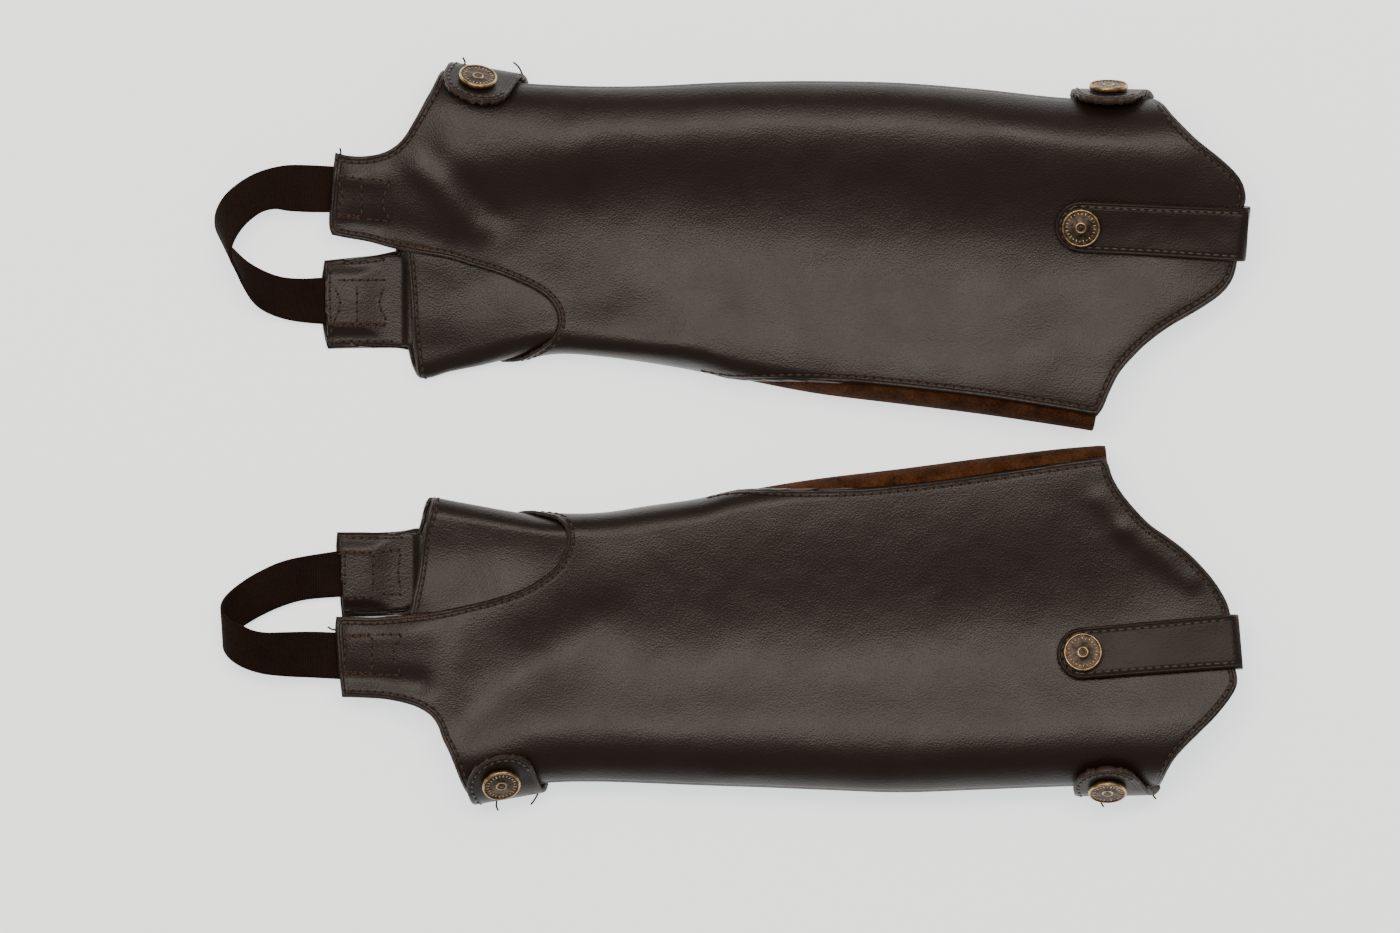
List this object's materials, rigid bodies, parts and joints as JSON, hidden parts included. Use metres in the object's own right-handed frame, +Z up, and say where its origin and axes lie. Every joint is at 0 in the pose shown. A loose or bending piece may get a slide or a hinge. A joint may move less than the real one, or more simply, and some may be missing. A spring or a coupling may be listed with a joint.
{
  "type": "pair of leather gaiters",
  "caption": "Two mirrored knee-high leather gaiters laid flat, each with a back zip, popper tabs and strap, a suede gusset, an instep cap and an under-foot elastic.",
  "frame": {"origin": "middle of the pair's box, on the surface that the pair lies on", "axes": "+X along the legs from the foot to the knee, +Y from the left gaiter to the right one, +Z up off the surface"},
  "size_m": [0.467, 0.3352, 0.0369],
  "materials": {
    "leather": "semi-gloss grained leather",
    "suede": "matte suede nap",
    "elastic": "matte ribbed webbing",
    "tape": "matte woven tape",
    "brass": "antiqued, rim rubbed bright"
  },
  "bodies": {
    "root": {"right_outer_panel": "leather", "right_inner_panel": "leather", "right_instep_cap": "leather", "right_calf_gusset": "suede", "right_outer_tab_facing": "leather", "right_inner_tab_facing": "leather", "right_knee_strap": "leather", "right_knee_tab": "leather", "right_ankle_tab": "leather", "right_foot_elastic": "elastic", "right_zip_tape": "tape", "right_zip_chain": "tape", "right_zip_slider": "brass", "right_strap_popper": "brass", "right_ankle_popper": "brass", "right_knee_popper": "brass", "left_outer_panel": "leather", "left_inner_panel": "leather", "left_instep_cap": "leather", "left_calf_gusset": "suede", "left_outer_tab_facing": "leather", "left_inner_tab_facing": "leather", "left_knee_strap": "leather", "left_knee_tab": "leather", "left_ankle_tab": "leather", "left_foot_elastic": "elastic", "left_zip_tape": "tape", "left_zip_chain": "tape", "left_zip_slider": "brass", "left_strap_popper": "brass", "left_ankle_popper": "brass", "left_knee_popper": "brass"}
  },
  "joints": []
}
